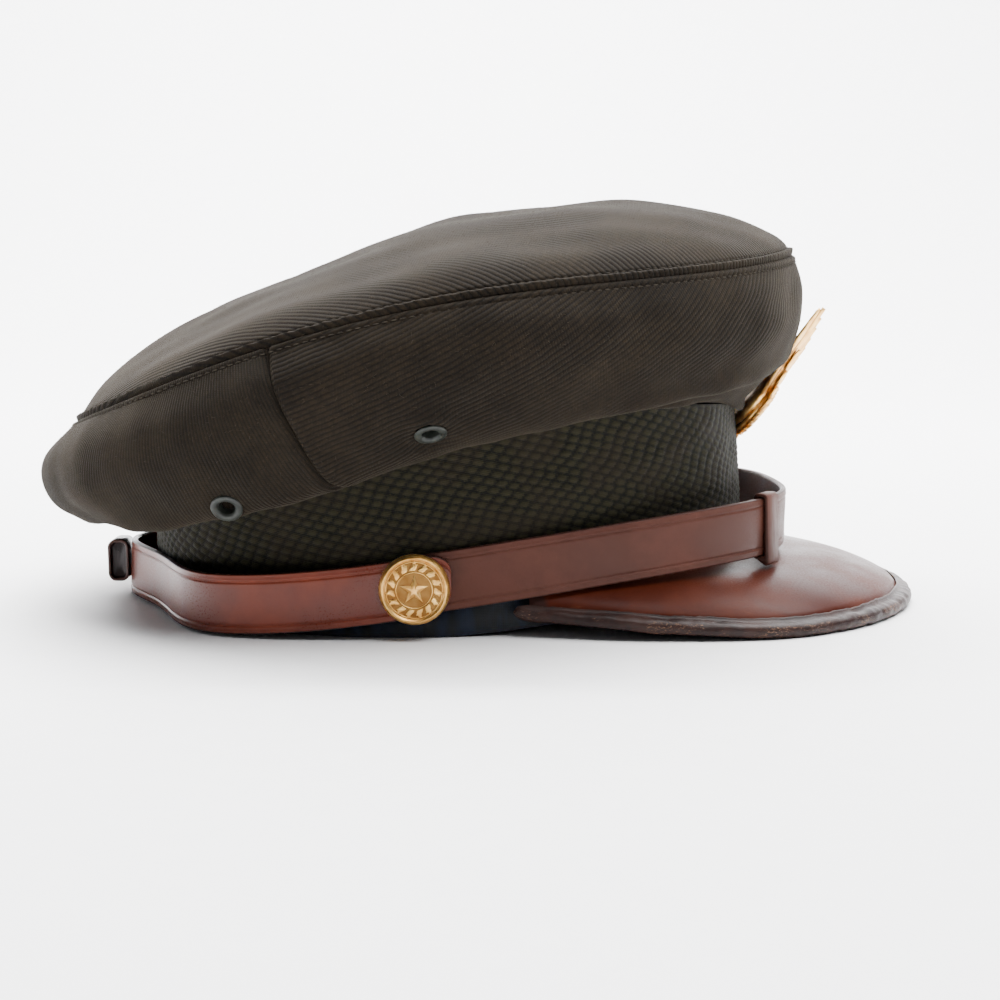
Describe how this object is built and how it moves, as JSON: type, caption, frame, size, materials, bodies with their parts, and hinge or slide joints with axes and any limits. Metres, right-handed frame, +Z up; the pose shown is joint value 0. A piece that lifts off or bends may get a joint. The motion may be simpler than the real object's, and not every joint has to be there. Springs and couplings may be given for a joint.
{
  "type": "crusher cap",
  "caption": "Officer's soft peaked service cap: cloth crown slumped at the back, braid band, leather peak and straps, metal badge.",
  "frame": {"origin": "centre of the bounding box's bottom face, on the surface that the cap rests on", "axes": "+X towards the peak at the front, +Y towards the cap's left side, +Z up"},
  "size_m": [0.3053, 0.2364, 0.1382],
  "materials": {
    "cloth": "olive-brown wool twill, matt",
    "braid": "olive-green woven braid, matt",
    "lining": "navy-blue oilcloth, satin",
    "peak_leather": "russet, polished",
    "binding_leather": "dark brown, worn",
    "strap_leather": "russet, smooth",
    "keeper_leather": "dark burgundy brown",
    "gilt": "gilt, worn",
    "vent_enamel": "grey-green paint"
  },
  "bodies": {
    "root": {"crown_top": "cloth", "crown_front": "cloth", "crown_rear": "cloth", "band": "braid", "sweatband": "lining", "peak": "peak_leather", "peak_binding": "binding_leather", "chin_strap": "strap_leather", "rear_strap": "strap_leather", "front_keeper": "strap_leather", "rear_keeper": "keeper_leather", "button_right": "gilt", "button_left": "gilt", "badge": "gilt", "vent_right_front": "vent_enamel", "vent_left_front": "vent_enamel", "vent_right_rear": "vent_enamel", "vent_left_rear": "vent_enamel"}
  },
  "joints": []
}
